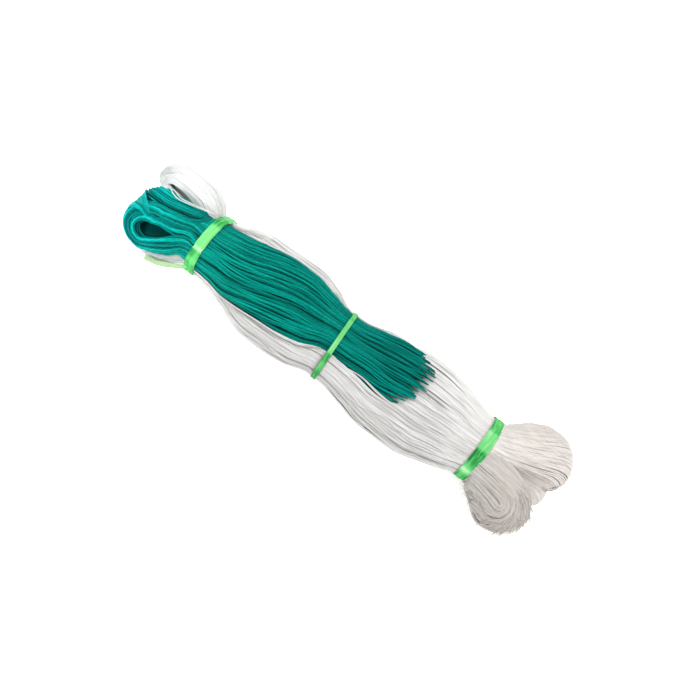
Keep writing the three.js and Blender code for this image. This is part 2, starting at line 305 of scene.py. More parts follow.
# Loops at the head of the hank: out along the top, round the end and back below.
RUN_POINTS = 17
BEND_POINTS = 16
BEND = np.linspace(math.pi / 2, -math.pi / 2, BEND_POINTS + 2)[1:-1]
UP = np.concatenate([np.ones(RUN_POINTS), np.sin(BEND), -np.ones(RUN_POINTS)])
OUT = np.concatenate([np.zeros(RUN_POINTS), np.cos(BEND), np.zeros(RUN_POINTS)])
RUN = np.linspace(0, 1, RUN_POINTS)
REACHED = np.concatenate([RUN, np.ones(BEND_POINTS), RUN[::-1]])
LOOP_LENGTH = np.linspace(0, 150, 2 * RUN_POINTS + BEND_POINTS)
WAIST_SPAN = (4, 20)
Laid = namedtuple("Laid", "lock sway own crown deep")
Bed = namedtuple("Bed", "count tone radius below depth share", defaults=(CORD_RADIUS, 0.0, 1.0, 0.5))
Fold = namedtuple("Fold", "hank girth turn_x reach pole side beds eye waist", defaults=(None, None))


class Eye(namedtuple("Eye", "size point_x round_x radius reach")):
    """Teardrop opening that the innermost loops go round."""

    def half(self, x):
        share = np.clip((x - self.point_x) / (self.round_x - self.point_x), 0, 1)
        return self.size * np.sin(share * math.pi / 2)


def lay_loops(fold, depth, angle, sink, tie_x, turn_x):
    """Paths of loops that fold about the line through a hank's oval at the pole's turn.

    With a waist, a turn of the green hank, they come together round it at the tie.
    """
    x = tie_x + (turn_x - tie_x) * REACHED
    opened = angle
    least_reach = 0.0
    if fold.eye is not None:
        opened = np.sqrt(angle**2 + (fold.eye.half(x) / (fold.eye.radius * depth)) ** 2)
        least_reach = fold.eye.reach
    pole = fold.pole(x)
    mid_y, half_y, mid_z, half_z = fold.hank.oval(x)
    across = np.sin(opened) * UP * fold.side
    y = mid_y + depth * (half_y - sink) * (np.cos(opened) * np.cos(pole) - across * np.sin(pole))
    z = mid_z + depth * (half_z - sink) * (np.cos(opened) * np.sin(pole) + across * np.cos(pole))
    nose = (least_reach + (fold.reach - least_reach - sink) * np.sin(opened)) * depth
    paths = np.stack([x - nose * OUT, y, z], -1)
    if fold.waist is not None:
        start = GREEN.at(x, fold.waist + fold.side * angle * UP / 2, sink)
        paths = start + (paths - start) * smooth(*WAIST_SPAN, tie_x - x)[..., None]
    return paths


# Strand tones at random, less painted shade for depth: the deeper a strand is sunk into the hank, the darker
# it is painted, standing for the shade in the grooves between locks.
def tone_shaded_by_depth(rng, mean, spread, sink, fall):
    return rng.normal(mean, spread, (len(sink), 1)) - fall * sink


def fold_strands(rng, fold, laid, tie_x, slip, spread, fall):
    """Paths and tones of the strands of a fold, bed by bed."""
    paths = []
    tones = []
    for bed in fold.beds:
        place, sink = lay_in_locks(rng, fold.girth.spaced(bed.count, bed.share), LOOP_LENGTH, *laid)
        turned = fold.turn_x + rng.normal(0, slip, (bed.count, 1))
        depth = sink + bed.below + bed.radius
        paths.append(lay_loops(fold, bed.depth, fold.girth.folded(place), depth, tie_x, turned))
        tones.append(tone_shaded_by_depth(rng, bed.tone, spread, sink, fall))
    return np.concatenate(paths), np.concatenate(tones)


FIRST_UP = np.array([0.13, 0.41, 0.9])
END_THICKNESS = 0.7
TONE_LIMIT = 1.4


def mark_points(mesh, name, values, kind="FLOAT", field="value"):
    """Values for a finish to read, one for each point of the mesh."""
    made = mesh.attributes.new(name, kind, "POINT")
    made.data.foreach_set(field, values.ravel().astype(np.float32))


def strands(name, paths, radius, sides, tone):
    """One mesh of tubes, a tube for each row of path points in millimetres, kept above the floor."""
    count, points, _ = paths.shape
    radius = np.broadcast_to(radius, (count,))
    paths = paths.copy()
    paths[..., 2] = np.maximum(paths[..., 2], radius[:, None])
    tangent = np.gradient(paths, axis=1)
    tangent /= np.linalg.norm(tangent, axis=2, keepdims=True)
    lift = np.zeros_like(paths)
    before = np.broadcast_to(FIRST_UP, (count, 3))
    for i in range(points):
        ahead = tangent[:, i]
        before = before - ahead * np.sum(before * ahead, axis=1, keepdims=True)
        before = before / np.linalg.norm(before, axis=1, keepdims=True)
        lift[:, i] = before
    beside = np.cross(tangent, lift)
    turn = FULL_TURN * np.arange(sides) / sides
    ring = lift[:, :, None] * np.cos(turn)[:, None] + beside[:, :, None] * np.sin(turn)[:, None]
    thickness = np.ones(points)
    thickness[[0, -1]] = END_THICKNESS
    size = radius[:, None, None, None] * thickness[:, None, None]
    verts = (paths[:, :, None] + size * ring).reshape(-1, 3) * MM

    index = np.arange(count * points * sides).reshape(count, points, sides)
    following = np.roll(index, -1, axis=2)
    quads = np.stack([index[:, :-1], following[:, :-1], following[:, 1:], index[:, 1:]], -1).reshape(-1, 4)
    caps = np.concatenate([index[:, 0, ::-1], index[:, -1]])
    mesh = bpy.data.meshes.new(name)
    mesh.from_pydata(verts, [], quads.tolist() + caps.tolist())

    step = np.linalg.norm(np.diff(paths, axis=1), axis=2)
    length = np.concatenate([np.zeros((count, 1)), np.cumsum(step, axis=1)], axis=1)
    around = np.broadcast_to(np.arange(sides) / sides, (count, points - 1, sides))
    begin = np.broadcast_to(length[:, :-1, None], around.shape)
    end = np.broadcast_to(length[:, 1:, None], around.shape)
    beyond = around + 1 / sides
    corners = [[around, begin], [beyond, begin], [beyond, end], [around, end]]
    wound = np.stack([np.stack(corner, -1) for corner in corners], -2).reshape(-1, 2)
    cut = np.zeros((caps.size, 2))
    layer = mesh.uv_layers.new(name="UVMap")
    layer.data.foreach_set("uv", np.concatenate([wound, cut]).ravel().astype(np.float32))
    tone = np.clip(tone, 0, TONE_LIMIT)[..., None]
    mark_points(mesh, "tone", np.broadcast_to(tone, (count, points, sides)))
    mesh.shade_smooth()
    piece = bpy.data.objects.new(name, mesh)
    bpy.context.collection.objects.link(piece)
    return piece


def dress(piece, material, slot, *nodes):
    piece.data.materials.clear()
    piece.data.materials.append(material)
    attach(piece, "root")
    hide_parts(*nodes)


def named(name):
    """The piece that was just made, with its name and its mesh's."""
    piece = bpy.context.active_object
    piece.name = name
    piece.data.name = name
    return piece


# Finishes
def feed(socket, value):
    if isinstance(value, bpy.types.NodeSocket):
        socket.id_data.links.new(value, socket)
    else:
        socket.default_value = value


def node(tree, kind, values=None, **settings):
    """A shader node; values are numbers for its sockets, or other nodes' outputs to link to them."""
    made = tree.nodes.new("ShaderNode" + kind)
    for name, value in settings.items():
        setattr(made, name, value)
    for socket, value in (values or {}).items():
        feed(made.inputs[socket], value)
    return made


def blend(tree, factor, first, second, way="MIX"):
    values = {0: factor, 6: first, 7: second}
    mix = node(tree, "Mix", values, data_type="RGBA", blend_type=way, clamp_factor=False)
    return mix.outputs[2]


def ranged(tree, value, low, high, to_low=0.0, to_high=1.0):
    values = dict(enumerate((value, low, high, to_low, to_high)))
    return node(tree, "MapRange", values, interpolation_type="SMOOTHSTEP").outputs[0]


def maths(tree, way, first, second=0.0):
    return node(tree, "Math", {0: first, 1: second}, operation=way).outputs[0]


def noise(tree, where, **values):
    return node(tree, "TexNoise", {"Vector": where, **values}).outputs[0]


def object_place(tree):
    return node(tree, "TexCoord").outputs["Object"]


def mark(tree, name, output="Fac"):
    return node(tree, "Attribute", attribute_name=name).outputs[output]


def relief(tree, shader, height, strength, distance):
    bump = node(tree, "Bump", {"Height": height, "Strength": strength, "Distance": distance})
    feed(shader.inputs["Normal"], bump.outputs[0])


def group(name, inputs, outputs):
    tree = bpy.data.node_groups.new(name, "ShaderNodeTree")
    for way, labels in (("INPUT", inputs), ("OUTPUT", outputs)):
        for label in labels:
            tree.interface.new_socket(name=label, in_out=way, socket_type="NodeSocketFloat")
    return tree, tree.nodes.new("NodeGroupInput"), tree.nodes.new("NodeGroupOutput")


def twisted_ply():
    """Plies of a twisted strand, from its own UV map: once round across, millimetres along."""
    tree, given, made = group("twisted_ply", ["Plies", "Pitch"], ["Height"])
    wound = node(tree, "UVMap", uv_map="UVMap").outputs[0]
    place = node(tree, "SeparateXYZ", {0: wound}).outputs
    around = maths(tree, "MULTIPLY", place[0], given.outputs["Plies"])
    along = maths(tree, "DIVIDE", place[1], given.outputs["Pitch"])
    turn = maths(tree, "MULTIPLY", maths(tree, "ADD", around, along), FULL_TURN)
    feed(made.inputs["Height"], ranged(tree, maths(tree, "SINE", turn), -1.0, 1.0))
    return tree


def lay_streaks():
    """Long streaks along the hank, where locks of strands differ a little."""
    tree, given, made = group("lay_streaks", ["Fineness"], ["Streak", "Cloud"])
    where = object_place(tree)
    stretch = node(tree, "Mapping", {"Vector": where, "Scale": (0.05, 1.0, 1.0)}).outputs[0]
    fine = noise(tree, stretch, Scale=given.outputs["Fineness"], Detail=3.0, Roughness=0.6)
    broad = noise(tree, where, Scale=22.0, Detail=2.0)
    feed(made.inputs["Streak"], ranged(tree, fine, 0.3, 0.7))
    feed(made.inputs["Cloud"], ranged(tree, broad, 0.3, 0.7))
    return tree


PLY = twisted_ply()
STREAKS = lay_streaks()


def new_material(name, **constants):
    material = bpy.data.materials.new(name)
    material.use_nodes = True
    tree = material.node_tree
    shader = tree.nodes["Principled BSDF"]
    for socket, value in constants.items():
        feed(shader.inputs[socket.replace("_", " ")], value)
    return material, tree, shader


HEAD_LIGHT_SPAN = (-0.13, -0.18)


def strand_finish(name, dark, light, head_light_tint, foot_tint, foot_span, ply, gloss, rough):
    """Strand colour by its tone mark, which carries painted shade for depth, tinted at both ends of the hank,
    with the plies as shade and relief. The head tint is painted light, brighter and bluer at the head; the
    foot tint warms and darkens the foot end.
    """
    material, tree, shader = new_material(name, Specular_IOR_Level=gloss)
    plies = {"Plies": ply.count, "Pitch": ply.pitch}
    twist = node(tree, "Group", plies, node_tree=PLY).outputs["Height"]
    streaks = node(tree, "Group", {"Fineness": 420.0}, node_tree=STREAKS).outputs
    streak = streaks["Streak"]
    lit = maths(tree, "MULTIPLY", mark(tree, "tone"), ranged(tree, streak, 0.0, 1.0, 0.78, 1.0))
    colour = blend(tree, lit, dark, light)
    place = node(tree, "SeparateXYZ", {0: object_place(tree)}).outputs[0]
    # Painted light: the strands are tinted brighter and bluer towards the head of the hank.
    colour = blend(tree, ranged(tree, place, *HEAD_LIGHT_SPAN), colour, head_light_tint, "MULTIPLY")
    colour = blend(tree, ranged(tree, place, *foot_span), colour, foot_tint, "MULTIPLY")
    cloud = ranged(tree, streaks["Cloud"], 0.0, 1.0, 0.94, 1.0)
    groove = ranged(tree, twist, 0.0, 0.6, 1 - ply.shade, 1.0)
    shade = maths(tree, "MULTIPLY", groove, cloud)
    grey = node(tree, "CombineColor", {0: shade, 1: shade, 2: shade})
    feed(shader.inputs["Base Color"], blend(tree, 1.0, colour, grey.outputs[0], "MULTIPLY"))
    feed(shader.inputs["Roughness"], ranged(tree, streak, 0.0, 1.0, rough + 0.08, rough - 0.08))
    relief(tree, shader, twist, ply.relief, 0.0002)
    return material


FILM_SHADES = [
    (0.0, (0.012, 0.15, 0.03)),
    (0.4, (0.055, 0.37, 0.09)),
    (0.75, (0.15, 0.52, 0.17)),
    (1.0, (0.4, 0.72, 0.42)),
]


def film_finish(name, pale):
    """Glossy stretched film, with streaks along its length. Its thinness mark is partly painted light: darker
    where it lies double and in painted shade, paler where thin and in painted highlights and reflections. The
    tone mark blends it towards the pale colour.
    """
    material, tree, shader = new_material(name, Coat_Weight=0.1, Coat_Roughness=0.1, Specular_IOR_Level=0.0)
    streaks = noise(tree, mark(tree, "band", "Vector"), Scale=1.0, Detail=2.0, Roughness=0.5)
    thin_and_lit = mark(tree, "thin_and_lit")
    streak = ranged(tree, streaks, 0.3, 0.7, -0.25, 0.25)
    streak = maths(tree, "MULTIPLY", streak, ranged(tree, thin_and_lit, 0.3, 0.75, 1.0, 0.35))
    ramp = node(tree, "ValToRGB", {0: maths(tree, "ADD", thin_and_lit, streak)})
    stops = ramp.color_ramp.elements
    while len(stops) < len(FILM_SHADES):
        stops.new(0.5)
    for stop, (place, colour) in zip(stops, FILM_SHADES):
        stop.position = place
        stop.color = (*colour, 1)
    feed(shader.inputs["Base Color"], blend(tree, mark(tree, "tone"), ramp.outputs[0], pale))
    feed(shader.inputs["Roughness"], ranged(tree, streaks, 0.3, 0.7, 0.2, 0.32))
    relief(tree, shader, streaks, 0.15, 0.0003)
    return material


Ply = namedtuple("Ply", "count pitch shade relief")
# The head tints are painted light; the green's is much the stronger, for the bright turquoise light on its
# folds.
WHITE_FINISH = strand_finish(
    "white_thread", (0.3, 0.285, 0.27, 1), (0.71, 0.705, 0.695, 1),
    (1.02, 1.05, 1.06, 1), (0.98, 0.925, 0.885, 1), (0.1, 0.16), Ply(2.0, 2.4, 0.0, 0.08), 0.3, 0.5)
GREEN_FINISH = strand_finish(
    "green_cord", (0.0, 0.04, 0.034, 1), (0.0, 0.3, 0.238, 1),
    (1.0, 1.28, 1.46, 1), (1.0, 0.78, 0.8, 1), (-0.06, 0.05), Ply(3.0, 4.5, 0.22, 0.35), 0.035, 0.55)
FILM_FINISH = film_finish("tie_film", (0.85, 1.0, 0.82, 1))
TAIL_FINISH = film_finish("tie_tail_film", (0.31, 0.4, 0.235, 1))


# White threads
def lay_threads(name, paths, radius, tone):
    dress(strands(name, paths, radius, THREAD_SIDES, tone), WHITE_FINISH, "white_thread", "white_hank")


TRUNK_THREADS = 550
TRUNK_POINTS = 54
PARTING_TURN = 1.56


def parting(x, turn):
    """How far a gap between two locks of white has opened, just past the cut green ends."""
    return smooth(58, 66, x) * (1 - smooth(70, 94, x)) * bell((turn - PARTING_TURN) / 0.035)


def white_trunk_threads():
    rng = np.random.default_rng(21)
    x = np.linspace(UPPER_TIE.x - 1, LOWER_TIE.x + 14, TRUNK_POINTS)
    girth = Girth(46, 16)
    places = girth.spaced(TRUNK_THREADS)
    towards_far = np.cos(girth.turn_at(places))[:, None]
    crown = 1.05 - 0.8 * smooth(-0.75, 0.2, towards_far)
    slack = slack_between_ties(x) * (1 - 0.72 * smooth(-0.6, 0.1, towards_far))
    place, sink = lay_in_locks(rng, places, x, (3, 13), 0.8, 0.4, crown, 0.35, slack)
    turn = girth.turn_at(place)
    opened = parting(x, turn)
    turn = turn + 0.025 * np.sign(turn - PARTING_TURN) * opened
    sink = sink + 1.5 * opened + 3.5 * smooth(LOWER_TIE.x + 6, LOWER_TIE.x + 14, x)
    paths = bed_under_green(WHITE.at(x, turn, sink + THREAD_RADIUS), 1.2)
    # The parting's threads are painted darker, as painted shade in the gap; the tone also falls off towards
    # the head end of the trunk.
    tone = tone_shaded_by_depth(rng, 0.96, 0.1, sink, 0.12) - opened - 0.16 * (1 - smooth(-60, 50, x))
    middle = int(np.argmin(np.abs(x - MIDDLE_TIE.x)))
    lay_threads("white_upper_threads", paths[:, : middle + 1], THREAD_RADIUS, tone[:, : middle + 1])
    lay_threads("white_lower_threads", paths[:, middle:], THREAD_RADIUS, tone[:, middle:])


class Lobe(namedtuple("Lobe", "hank turn_x reach")):
    """A form seen in plan: its hank's ovals, then a rounded nose past turn_x."""

    def room(self, x, y, sink):
        """What is left of one to the outline, with the middle height and half height there."""
        mid_y, half_y, mid_z, half_z = self.hank.oval(x)
        nose = np.maximum(x - self.turn_x, 0) / (self.reach - sink)
        return 1 - ((y - mid_y) / (half_y - sink)) ** 2 - nose**2, mid_z, half_z - sink


TRUNK_END = Lobe(WHITE, 141, 24)
FAR_LOBE = Lobe(LOBE_FAR, 178, 26)
NEAR_LOBE = Lobe(LOBE_NEAR, 158, 30)
MIDDLE_LOBE = Lobe(LOBE_MIDDLE, 181, 16)
LOBE_THREADS = 340
PLAN_STEP = 0.8
PLAN_POINTS = 116
PLAN_RUN = PLAN_STEP * np.arange(PLAN_POINTS)
UNDER_FILM = 6
LOBE_POINTS = 22
FAR_LOBE_WIDTH = 42
NEAR_LOBE_WIDTH = 38


def along_rows(values, place):
    low = np.minimum(place.astype(int), values.shape[1] - 2)
    rows = np.arange(len(values))[:, None]
    part = place - low
    if values.ndim == 3:
        part = part[..., None]
    return values[rows, low] * (1 - part) + values[rows, low + 1] * part


def over_lobe(plan, sink, lobes):
    """Strands over a lobe: along their plan lines on top, round the outline and back below."""
    flat = sink.mean(axis=1, keepdims=True)
    room = np.max([lobe.room(plan[..., 0], plan[..., 1], flat)[0] for lobe in lobes], axis=0)
    outside = room < 0
    outside[:, :UNDER_FILM] = False
    outside[:, -1] = True
    last = outside.argmax(axis=1)
    rows = np.arange(len(plan))
    inner = np.maximum(room[rows, last - 1], 0)
    outer = np.minimum(room[rows, last], 0)
    end = last - 1 + inner / np.maximum(inner - outer, 1e-9)
    place = end[:, None] * np.sin(np.linspace(0, math.pi / 2, LOBE_POINTS))
    x, y = np.moveaxis(along_rows(plan, place), -1, 0)
    sink = along_rows(sink, place)
    tops = []
    bottoms = []
    for lobe in lobes:
        left, mid_z, half_z = lobe.room(x, y, sink)
        rise = half_z * np.sqrt(np.clip(left, 0, 1))
        tops.append(np.where(left > 0, mid_z + rise, -1e3))
        bottoms.append(np.where(left > 0, mid_z - rise, 1e3))
    top = np.max(tops, axis=0)
    bottom = np.min(bottoms, axis=0)
    outline = lobes[-1].room(x, y, sink)[1]
    top = ease(np.where(top < 0, outline, top))
    bottom = ease(np.where(bottom > 100, outline, bottom))
    top = np.maximum(top, bottom + 0.1)
    above = np.stack([x, y, top], -1)
    below = np.stack([x, y, bottom], -1)[:, -2::-1]
    return np.concatenate([above, below], axis=1), np.concatenate([sink, sink[:, -2::-1]], axis=1)


def far_lobe_plan(place):
    """Strands of the far lobe in plan: out of the tie, then bending towards the far side."""
    start = place[:, :1]
    far = 1 - start / FAR_LOBE_WIDTH
    spread = np.clip(far, 0, 1)
    leave = np.radians(4 + 40 * spread**1.6)
    arrive = np.radians(12 + 30 * np.sqrt(spread))
    angle = smooth(4, 7, PLAN_RUN) * (leave + (arrive - leave) * smooth(5, 34, PLAN_RUN))
    angle = angle + np.radians(10) * smooth(26, 56, PLAN_RUN) * np.sqrt(spread)
    root = -1.2 + 30.2 * np.cos((1 - far) * 1.75)
    x = LOWER_TIE.x + LOWER_TIE.slant * root + PLAN_STEP * np.cumsum(np.cos(angle), axis=1)
    y = root + PLAN_STEP * np.cumsum(np.sin(angle), axis=1)
    return np.stack([x, y - (place - start) * smooth(0, 30, PLAN_RUN)], -1)


def notch_plan(place):
    """Low strands between the two lobes, fanning out of the crotch."""
    start = place[:, :1]
    angle = np.radians(1.2 * start)
    y = -1 + start * 0.5 + PLAN_RUN * np.sin(angle) + (place - start)
    return np.stack([146 + PLAN_RUN * np.cos(angle), y], -1)


NEAR_EYE = np.array([159.0, -40.0])
NEAR_EYE_ANGLE = math.radians(-33)
EYE_GAP = 0.9


def near_lobe_plan(place):
    """Strands of the near lobe in plan: out of the tie, round the eye and back along the near side."""
    start = np.abs(place[:, :1])
    opened = bell(start / 2.5) * bell((np.arange(PLAN_POINTS) - 54) / 9)
    ring = np.maximum(np.abs(place), 0.25) + EYE_GAP * opened
    ahead = np.array([math.cos(NEAR_EYE_ANGLE), math.sin(NEAR_EYE_ANGLE)])
    beside = np.array([-ahead[1], ahead[0]])
    half = PLAN_POINTS // 2
    quarter = PLAN_POINTS // 4
    share = np.linspace(0, 1, half)[:, None]
    side = -27 + 0.75 * start
    root = np.stack([LOWER_TIE.x + LOWER_TIE.slant * side, side], -1)
    reach = NEAR_EYE + ring[:, :half, None] * beside
    turn = NEAR_EYE_ANGLE * (1 - 0.7 * start / NEAR_LOBE_WIDTH)
    leave = np.stack([np.full_like(start, 26.0), -9 * (1 - start / NEAR_LOBE_WIDTH)], -1)
    arrive = 26 * np.stack([np.cos(turn), np.sin(turn)], -1)
    out = (
        root * (1 - share) ** 2 * (1 + 2 * share) + leave * share * (1 - share) ** 2
        + reach * share**2 * (3 - 2 * share) - arrive * share**2 * (1 - share))
    bend = np.linspace(0, math.pi, quarter)[:, None]
    size = ring[:, half : half + quarter, None]
    around = NEAR_EYE + size * (np.cos(bend) * beside + np.sin(bend) * ahead)
    outer = np.minimum(start, 11)
    home = np.stack([LOWER_TIE.x + 1.5 + 0.35 * outer, -27.6 - 0.8 * outer], -1)
    share = np.linspace(0, 1, PLAN_POINTS - half - quarter)[:, None]
    back = around[:, -1:] + share * (home - around[:, -1:])
    return np.concatenate([out, around, back], axis=1)


def lobe_threads(name, seed, places, laid, plan_of, lobes, bright, fall, calm=1.0):
    """Threads of one lobe; calm is how slack they lie at the tie, against one at their far ends."""
    rng = np.random.default_rng(seed)
    slack = calm + (1 - calm) * smooth(14, 40, PLAN_RUN)
    place, sink = lay_in_locks(rng, places, PLAN_RUN, *laid, slack)
    paths, sink = over_lobe(plan_of(place), sink + THREAD_RADIUS, lobes)
    lay_threads(name, paths, THREAD_RADIUS, tone_shaded_by_depth(rng, bright, 0.08, sink, fall))


def white_foot_threads():
    # Tones: the far lobe is painted darker towards its far side; the near lobe darker, as painted shade on
    # the side away from the light; the notch threads lighter, as painted light in the shade between the
    # lobes.
    places = np.linspace(0.2, FAR_LOBE_WIDTH, LOBE_THREADS)
    far = 1 - places[:, None] / FAR_LOBE_WIDTH
    lobe_threads(
        "white_foot_far_threads", 31, places, Laid((3, 12), 0.5, 0.35, 0.8, 0.3), far_lobe_plan,
        (TRUNK_END, FAR_LOBE), 1.06 - 0.24 * smooth(0.05, 0.7, far), 0.14, 0.25)
    lobe_threads(
        "white_foot_near_threads", 37, np.linspace(0.2, NEAR_LOBE_WIDTH, LOBE_THREADS),
        Laid((2, 6), 0.4, 0.3, 1.5, 0.45), near_lobe_plan, (TRUNK_END, NEAR_LOBE), 0.85, 0.4)
    lobe_threads(
        "white_foot_middle_threads", 35, np.linspace(-11, 15, 104), Laid((3, 10), 0.4, 0.3, 0.6, 0.3),
        notch_plan, (MIDDLE_LOBE,), 1.0, 0.1)


def foot_flank_threads():
    """Threads along the far side of the far lobe, from the tie to where its other threads cover them."""
    rng = np.random.default_rng(33)
    count = 90
    x = np.concatenate([np.linspace(LOWER_TIE.x, 148, 9), np.linspace(152, 188, 9)])
    turn = np.radians(np.linspace(-118, 48, count))[:, None] + wander(rng, count, x, (60, 35), 0.02)
    sink = rng.uniform(0.7, 1.2, (count, 1)) + 2 * smooth(176, 188, x)
    scale = np.sqrt(1 - (np.maximum(x - FAR_LOBE.turn_x, 0) / FAR_LOBE.reach) ** 2)
    lobe = LOBE_FAR.at(x, turn, sink, scale)
    tied = WHITE.at(x, turn, sink)
    paths = tied + (lobe - tied) * smooth(LOWER_TIE.x + 4, LOWER_TIE.x + 12, x)[:, None]
    lay_threads("white_foot_flank_threads", paths, 0.4, tone_shaded_by_depth(rng, 1.0, 0.1, sink, 0.15))


def foot_brush():
    """Cut thread ends that stand off the near lobe past its eye."""
    rng = np.random.default_rng(39)
    count = 540
    run = np.repeat(rng.uniform(8, 36, (count, 1)), PLAN_POINTS, axis=1)
    paths, _ = over_lobe(near_lobe_plan(run), np.zeros_like(run), (NEAR_LOBE,))
    rows = np.arange(count)
    leaves = LOBE_POINTS - rng.integers(1, 12, count)
    root = paths[rows, leaves]
    ahead = paths[rows, leaves + 1] - paths[rows, leaves - 1]
    ahead /= np.linalg.norm(ahead, axis=1, keepdims=True)
    mid_y, _, mid_z, _ = LOBE_NEAR.oval(NEAR_LOBE.turn_x)
    outward = root - np.array([NEAR_LOBE.turn_x, mid_y, mid_z])
    outward /= np.linalg.norm(outward, axis=1, keepdims=True)
    lean = ahead + 0.1 * outward + rng.normal(0, 0.12, (count, 3))
    step = np.linspace(-0.25, 1, 7)[:, None] * rng.uniform(3, 8, count)[:, None, None]
    bristles = root[:, None] + lean[:, None] * step + outward[:, None] * (0.008 * step**2 - 0.15)
    lay_threads("white_foot_brush", bristles, 0.2, rng.normal(0.82, 0.15, (count, 1)))


BED_RADIUS = 0.9
BED_SINK = 1.0


def white_loop(name, seed, fold, laid):
    """A loop at the head: fine threads over a bed of thicker ones."""
    paths, tones = fold_strands(np.random.default_rng(seed), fold, laid, UPPER_TIE.x + 2, 1.0, 0.06, 0.2)
    radii = np.concatenate([np.full(bed.count, bed.radius) for bed in fold.beds])
    lay_threads(name, paths, radii, tones)


def white_head_threads():
    slit = Eye(2.4, -156, -180, 12, 5)
    beds = [Bed(165, 0.92, THREAD_RADIUS), Bed(46, 0.92, BED_RADIUS, BED_SINK)]
    fold = Fold(LOOP_FAR, Girth(15, 13.5), -184, 20, lambda x: math.pi - 0.5, -1, beds, slit)
    white_loop("white_head_far_threads", 46, fold, Laid((5, 16), 0.25, 0.15, 0.12, 0.14))
    # The under loop's tone is raised, as painted light where the near fold shades it.
    beds = [Bed(74, 1.35, THREAD_RADIUS), Bed(30, 1.35, BED_RADIUS, BED_SINK)]
    fold = Fold(LOOP_UNDER, Girth(5, 22), -168, 15, lambda x: math.pi / 2, 1, beds)
    white_loop("white_head_under_threads", 43, fold, Laid((4, 12), 0.3, 0.2, 0.2, 0.15))


LOOSE_POINTS = 34


def laid_over(hank, stops, lift):
    """A strand lying on a hank, through stops of X and turn in degrees."""
    stops = np.array(stops, float)
    share = np.linspace(0, len(stops) - 1, LOOSE_POINTS)
    x, turn = (ease(np.interp(share, np.arange(len(stops)), stops[:, i])[None], 16)[0] for i in (0, 1))
    return hank.at(x, np.radians(turn), -lift)


def beside_green(rng, count):
    """Threads that fill the corner where the white meets the near side of the green."""
    x = np.linspace(UPPER_TIE.x, MIDDLE_TIE.x, LOOSE_POINTS)
    turn = np.radians(np.linspace(180, 250, 141))[:, None]
    mid_y, half_y, mid_z, half_z = WHITE.oval(x)
    _, y, z = np.moveaxis(GREEN.at(x, turn, 0), -1, 0)
    inside = ((y - mid_y) / half_y) ** 2 + ((z - mid_z) / half_z) ** 2 < 1
    corner = ease(turn[inside.argmax(axis=0), 0][None], 6)
    side = np.radians(np.linspace(-10, 3, count))[:, None] + wander(rng, count, x, (90, 50, 28), 0.02)
    return GREEN.at(x, corner + side, -rng.uniform(0.2, 0.8, (count, 1)))


def under_far_film(rng, count):
    """Threads that fill the hollow between white and green on the far side of the upper tie."""
    x = np.linspace(UPPER_TIE.x - 4, -100, LOOSE_POINTS)
    turn = np.linspace(0.3, 1.0, count)[:, None] + wander(rng, count, x, (60, 35), 0.02)
    lift = 5 * smooth(0.35, 1.0, turn) * (1 - smooth(-127, -103, x)) - 0.4
    return WHITE.at(x, turn, -lift)


def loose_threads():
    rng = np.random.default_rng(47)
    over_green = [
        (GREEN, [(2, 186), (14, 168), (28, 160), (42, 166), (60, 184)], 0.3),
        (GREEN, [(2, 188), (12, 172), (26, 163), (40, 170), (57, 187)], 0.3),
        (GREEN_FAR, [(-184, 30), (-178, 66), (-170, 80), (-158, 70), (-143, 46)], 0.3),
        (GREEN_FAR, [(-181, 24), (-175, 58), (-167, 70), (-156, 60), (-143, 40)], 0.3),
        (GREEN, [(-120, 16), (-108, 27), (-92, 31), (-76, 29), (-60, 18)], 0.2),
        (GREEN, [(-100, 14), (-88, 25), (-72, 30), (-56, 27), (-44, 16)], 0.2),
    ]
    starts = rng.uniform(-95, 60, 12)
    turns = rng.choice([168, 174, 152, 160, 20], 12)
    bends = rng.normal(0, 7, 12)
    over_white = [
        (WHITE, [(at, turn), (at + 30, turn + bend), (at + 62, turn + 0.4 * bend)], 0.5)
        for at, turn, bend in zip(starts, turns, bends)
    ]
    laid = np.stack([laid_over(*stop) for stop in over_green + over_white])
    paths = np.concatenate([laid, beside_green(rng, 16), under_far_film(rng, 14)])
    radii = np.full(len(paths), 0.42)
    radii[len(over_green) : len(laid)] = 0.3
    lay_threads("loose_threads", paths, radii, rng.normal(0.95, 0.05, (len(paths), 1)))


# Green cords
def lay_cords(name, paths, tone):
    dress(strands(name, paths, CORD_RADIUS, CORD_SIDES, tone), GREEN_FINISH, "green_cord", "green_hank")


def crossing(x):
    """Millimetres round the hank by which the green cords slant towards the far side."""
    return -20 * smooth(-132, -12, x) - 7 * smooth(-2, 72, x)


GREEN_RUN = 205


